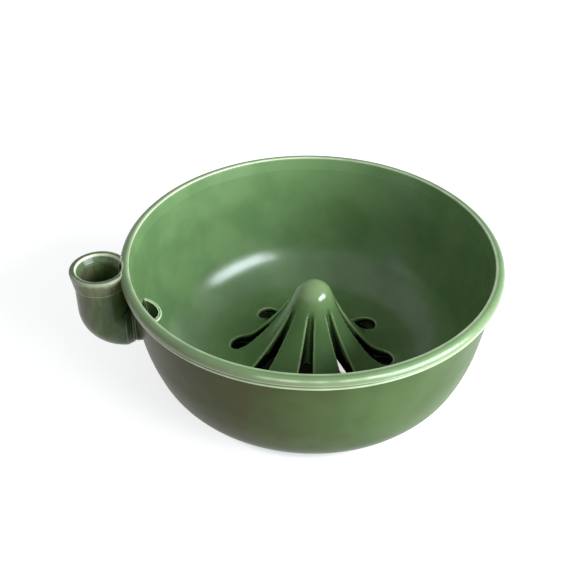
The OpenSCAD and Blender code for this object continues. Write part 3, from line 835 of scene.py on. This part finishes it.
add_on = fit_tree("add on", "UNION")
up, level = Vector((0, 0, 1)), Vector((1, 0, 0))
outside_form = spun("outside form", [(0, floor_z)] + outer_face + [(0, seat_z)])
inside_form = spun("inside form", [(0, floor_top)] + inner_face + [(0, seat_z)])
riser = drill(pipe_r, (mouth_x, 0, bend_z - lap), up, collar_z - bend_z + lap)
shoulder = drill(pipe_r, (bend_x - lap, 0, port_z), level, shoulder_x - bend_x + lap, shoulder_r)
tail = drill(tail_r, (bend_x - 1 * mm, 0, port_z), level, 16 * mm)
tail.data = fitted(tail.data, pipe_glaze, cut_away, inside_form)
spigot = drill(spigot_r, (mouth_x, 0, collar_z - 1 * mm), up, 5.7 * mm)
bore = on_stand("bore", swept("bore", bore_r, spigot_top + 3 * mm, bend_x))
tail_bore = drill(tail_bore_r, (bend_x - 1 * mm, 0, port_z), level, 20 * mm)
pipe_mesh = fitted(riser.data, pipe_glaze, add_on, tight_bend(pipe_r), shoulder, spigot, tail)
pipe_mesh = fitted(pipe_mesh, pipe_glaze, cut_away, bore, tail_bore)
pipe_mesh = softened("elbow_pipe", pipe_mesh, 0.4 * mm, 4, pipe_glaze)
melt_glaze(pipe_mesh, shows=lambda at: smooth_step(collar_z - at[:, 2], 0.5 * mm, 1.5 * mm)
           * smooth_step(shoulder_x - at[:, 0], -0.4 * mm, -0.1 * mm))
pipe_at = spots_of(pipe_mesh)
lay_on(pipe_mesh, "earth", 0.9 * smooth_step(mouth_x - pipe_at[:, 0], -2 * mm, 10 * mm))
# Painted shade on the pipe beside the wall, in the crevice
lay_on(pipe_mesh, "shade", 0.45 * smooth_step(pipe_at[:, 0], bend_x - 4 * mm, bend_x + 2 * mm))
set_piece("elbow_pipe_glazed", pipe_mesh, "green_glaze", "elbow_pipe")

# Mouth collar
# A coil sleeved over the pipe's spigot and pressed against the bead. It flares to a flat top with
# a thin lip, where the glaze drew back to cream and ran down the outside in short drips.
collar_r = 13.6 * mm
collar_foot_r = 12.4 * mm
collar_glaze = glazed("mouth collar glaze", body=(0.110, 0.150, 0.080), deep=(0.080, 0.115, 0.055),
                      thin=(0.66, 0.68, 0.48), pooled=(0.045, 0.055, 0.022), earth=(0.115, 0.120, 0.045),
                      cloud_size=4 * mm, run_strength=0.5, gloss=0.3)
collar_edge_r = 1.0 * mm
collar_lip_r = 0.7 * mm
collar_edge_c = (collar_r - collar_edge_r, collar_top - collar_edge_r)
collar_lip_c = (mouth_r + collar_lip_r, collar_top - collar_lip_r)
flare_side = [(collar_foot_r + (collar_r - collar_foot_r) * s, collar_z + (collar_edge_c[1] - collar_z) * s)
              for s in np.linspace(0, 1, 10)]
funnel = [(mouth_r + (bore_r - mouth_r) * s, collar_lip_c[1] + (spigot_top - collar_lip_c[1]) * s)
          for s in np.linspace(0, 1, 6)]
collar_mesh = turned("mouth_collar", flare_side + arc(collar_edge_c, collar_edge_r, 0, math.pi / 2, 8)[1:]
                     + arc(collar_lip_c, collar_lip_r, math.pi / 2, math.pi, 8) + funnel[1:]
                     + [(spigot_r, spigot_top), (spigot_r, collar_z)],
                     collar_glaze, axis=(mouth_x, 0, 0), steps=160)
bowl_form = spun("bowl form", [(0, floor_z)] + outer_face + bead_face + [(0, rim_top)])
collar_mesh = fitted(collar_mesh, collar_glaze, cut_away, bowl_form)
collar_mesh = softened("mouth_collar", collar_mesh, 0.3 * mm, 3, collar_glaze)
melt_glaze(collar_mesh, thin_from=0.25, thin_to=0.9, shows=lambda at: 0.6 * smooth_step(
    np.hypot(at[:, 0] - mouth_x, at[:, 1]), bore_r + 0.5 * mm, bore_r + 1.5 * mm))
collar_at = spots_of(collar_mesh)
collar_reach = np.hypot(collar_at[:, 0] - mouth_x, collar_at[:, 1])
collar_turn = np.arctan2(collar_at[:, 1], collar_at[:, 0] - mouth_x)
to_front = smooth_step(-np.sin(collar_turn), -0.1, 0.6)
to_left = smooth_step(-np.cos(collar_turn), -0.3, 0.8)
near_top = smooth_step(collar_at[:, 2], collar_top - 1.3 * mm, collar_top - 0.6 * mm)
drop = (1.7 + 0.6 * np.sin(5 * collar_turn + 1.0) + 0.5 * np.sin(11 * collar_turn + 2.3)
        + 0.35 * np.sin(23 * collar_turn + 0.7)) * mm
drips = smooth_step(collar_at[:, 2], collar_top - drop - 1.4 * mm, collar_top - 0.3 * mm)
lip_line = smooth_step(mouth_r + 0.75 * mm - collar_reach, 0, 0.4 * mm) * near_top
foot_line = smooth_step(collar_z + 0.9 * mm - collar_at[:, 2], 0, 0.6 * mm)
outer_skin = smooth_step(collar_reach, mouth_r + 1.7 * mm, mouth_r + 2.2 * mm)
lay_on(collar_mesh, "thin", lip_line * (0.65 + 0.35 * to_left))
lay_on(collar_mesh, "thin", outer_skin * to_front * np.maximum(0.32 * drips, 0.4 * foot_line))
lay_on(collar_mesh, "earth", outer_skin * smooth_step(collar_top - collar_at[:, 2], 0.4 * mm, 1.2 * mm))
set_piece("mouth_collar_glazed", collar_mesh, "pale_glaze", "mouth_collar")

# Wall collar
# A slim ring of clay slipped over the tail, between the pipe's shoulder and the wall, to close the
# joint. The glaze lies deep on it, and the whole ring is painted in shade, as it sits in the crevice at the
# wall.
saddle_r = 10.35 * mm
saddle_in_r = tail_r + 0.15 * mm
saddle_edge_r = 0.4 * mm
saddle_x = shoulder_x + 0.15 * mm
saddle_l = 4 * mm
saddle_glaze = glazed("wall collar glaze", body=(0.055, 0.080, 0.030), deep=(0.035, 0.055, 0.018),
                      thin=(0.20, 0.24, 0.13), pooled=(0.020, 0.030, 0.010), cloud_size=5 * mm,
                      run_strength=0.4, gloss=0.08)
saddle_edge = arc((saddle_r - saddle_edge_r, saddle_edge_r), saddle_edge_r, -math.pi / 2, 0, 10)
saddle_mesh = turned("wall_collar", saddle_edge + [(saddle_r, saddle_l), (saddle_in_r, saddle_l),
                                                   (saddle_in_r, 0)], saddle_glaze, steps=160)
saddle_mesh.transform(Matrix.Translation((saddle_x, 0, port_z)) @ Matrix.Rotation(math.pi / 2, 4, "Y"))
saddle_mesh = fitted(saddle_mesh, saddle_glaze, cut_away, outside_form)
saddle_mesh = softened("wall_collar", saddle_mesh, 0.25 * mm, 2, saddle_glaze)
melt_glaze(saddle_mesh, spread=3)
# Painted shade over the whole ring
lay_on(saddle_mesh, "shade", np.full(len(saddle_mesh.vertices), 0.45))
set_piece("wall_collar_glazed", saddle_mesh, "deep_glaze", "wall_collar")

# Port scoop
# Half of a small pinched cup stuck over the port inside the bowl, open upwards, so that the water
# in the bowl can be poured off through the pipe. Its brim is thin and slopes into the bowl.
scoop_r = 10.7 * mm
scoop_t = 1.7 * mm
scoop_brim = 3.05 * mm
scoop_sink = 2.9 * mm
scoop_rise = 2.3 * mm
port_in_r = seat_in_r - (seat_z - port_z) * math.tan(wall_lean)
scoop_c = Vector((-(port_in_r + scoop_sink), 0, port_z + scoop_rise))
scoop_tilt = Matrix.Rotation(math.radians(15), 3, "Y")
scoop_glaze = glazed("port scoop glaze", body=(0.132, 0.225, 0.088), deep=(0.100, 0.180, 0.066),
                     thin=(0.62, 0.70, 0.46), pooled=olive_pool)
keep_inside = fit_tree("keep inside", "INTERSECT")


def ball(radius):
    """A turned ball about the scoop's centre"""
    form = spun("ball", arc((0, 0), radius, -math.pi / 2, math.pi / 2, 48), steps=96)
    form.data.transform(Matrix.Translation(scoop_c))
    return form


brim_at = scoop_c + scoop_tilt @ Vector((0, 0, scoop_brim))
brim_cut = drill(30 * mm, brim_at, scoop_tilt @ up, 30 * mm)
cup_room = ball(scoop_r - scoop_t)
scoop_mesh = fitted(ball(scoop_r).data, scoop_glaze, cut_away, cup_room, brim_cut)
scoop_mesh = fitted(scoop_mesh, scoop_glaze, keep_inside, inside_form)
scoop_mesh = softened("port_scoop", scoop_mesh, 0.25 * mm, 4, scoop_glaze)
melt_glaze(scoop_mesh, spread=4)
set_piece("port_scoop_glazed", scoop_mesh, "pale_glaze", "port_scoop")

# The tools and forms that the pieces were cut with are put away
for form in [o for o in bpy.context.scene.objects if o.name.split(".")[0] in (
        "drill", "outside form", "inside form", "bowl form", "bore", "tight bend", "ball")]:
    bpy.data.objects.remove(form)

# Stage, light and camera
# A white table, painted dark under the bowl as painted shade, but for one painted patch of light
# that a slot looks down on, and see-through from below. A big soft window stands low at the front right,
# with plain sky all round.
table = bpy.data.meshes.new("table")
table.from_pydata([(-12, -12, 0), (12, -12, 0), (12, 12, 0), (-12, 12, 0)], [], [(0, 1, 2, 3)])
floor = on_stand("table", table)
table_paint = bpy.data.materials.new("table")
table_paint.use_nodes = True
paint_tree = table_paint.node_tree
paint = paint_tree.nodes["Principled BSDF"]
paint.inputs["Roughness"].default_value = 0.9
paint.inputs["Specular IOR Level"].default_value = 0.0
floor_glow_and_painted_light = place(paint_tree, "ShaderNodeEmission", {"Color": (1, 1, 1, 1)})
step = partial(math_step, paint_tree)
rays = place(paint_tree, "ShaderNodeLightPath").outputs
seen = step("MAXIMUM", rays["Is Camera Ray"], rays["Is Glossy Ray"])
seen = step("MAXIMUM", seen, rays["Is Transmission Ray"])
table_at = place(paint_tree, "ShaderNodeTexCoord").outputs["Object"]
spread = place(paint_tree, "ShaderNodeVectorMath", {0: table_at}, operation="LENGTH")
# clear is 0 under the bowl, where the table is painted dark as painted shade, and 1 beyond it
clear = place(paint_tree, "ShaderNodeMapRange", {
    "Value": spread.outputs["Value"], "From Min": 50 * mm, "From Max": 62 * mm})
# A painted patch of light on the shaded table, glowing white for camera rays
painted_light_c = (20 * mm, 2 * mm, 0)
painted_light_at = place(paint_tree, "ShaderNodeVectorMath", {0: table_at, 1: painted_light_c}, operation="DISTANCE")
painted_light = place(paint_tree, "ShaderNodeMapRange", {
    "Value": painted_light_at.outputs["Value"], "From Min": 8 * mm, "From Max": 6 * mm})
clear = step("MAXIMUM", clear.outputs[0], painted_light.outputs[0])
# Painted shade: the table's colour is dark under the bowl
painted_shade_floor = place(paint_tree, "ShaderNodeMapRange", {"Value": clear, "To Min": 0.06, "To Max": 0.5})
paint_tree.links.new(painted_shade_floor.outputs[0], paint.inputs["Base Color"])
# The glow lifts the open table to white and also lights the painted patch of light
lift = step("MULTIPLY", step("MULTIPLY", seen, clear), 0.72)
paint_tree.links.new(lift, floor_glow_and_painted_light.inputs["Strength"])
both = place(paint_tree, "ShaderNodeAddShader", {0: paint.outputs[0], 1: floor_glow_and_painted_light.outputs[0]})
under = place(paint_tree, "ShaderNodeMixShader", {
    0: place(paint_tree, "ShaderNodeNewGeometry").outputs["Backfacing"], 1: both.outputs[0],
    2: place(paint_tree, "ShaderNodeBsdfTransparent").outputs[0]})
paint_tree.links.new(under.outputs[0], paint_tree.nodes["Material Output"].inputs["Surface"])
table.materials.append(table_paint)

world = bpy.data.worlds.new("sky light")
bpy.context.scene.world = world
world.use_nodes = True
world.node_tree.nodes["Background"].inputs["Color"].default_value = (0.95, 0.98, 1.0, 1)
world.node_tree.nodes["Background"].inputs["Strength"].default_value = 0.5

window_turn, window_rise = math.radians(-39), math.radians(15)
window_way = Vector((math.cos(window_rise) * math.cos(window_turn),
                     math.cos(window_rise) * math.sin(window_turn), math.sin(window_rise)))
lamp = bpy.data.lights.new("window", "AREA")
lamp.shape = "RECTANGLE"
lamp.size = 0.95
lamp.size_y = 1.05
lamp.energy = 43
lamp.color = (0.84, 0.93, 1.0)
window = bpy.data.objects.new("window", lamp)
bpy.context.scene.collection.objects.link(window)
window.location = Vector((0, 0, 50 * mm)) + window_way * 1.1
window.rotation_euler = (-window_way).to_track_quat("-Z", "Y").to_euler()

lens = bpy.data.cameras.new("camera")
lens.lens = 60.5
lens.sensor_width = 36
lens.clip_start = 0.01
camera = bpy.data.objects.new("camera", lens)
bpy.context.scene.collection.objects.link(camera)
eye = Vector((-64.44, -365.48, 341.37)) * mm
aim = Vector((-14.71, -23.75, 74.0)) * mm
camera_roll = math.radians(0.235)
look = (aim - eye).to_track_quat("-Z", "Y").to_matrix().to_4x4()
camera.matrix_world = Matrix.Translation(eye) @ look @ Matrix.Rotation(camera_roll, 4, "Z")
bpy.context.scene.camera = camera
bpy.context.scene.view_settings.view_transform = "Standard"
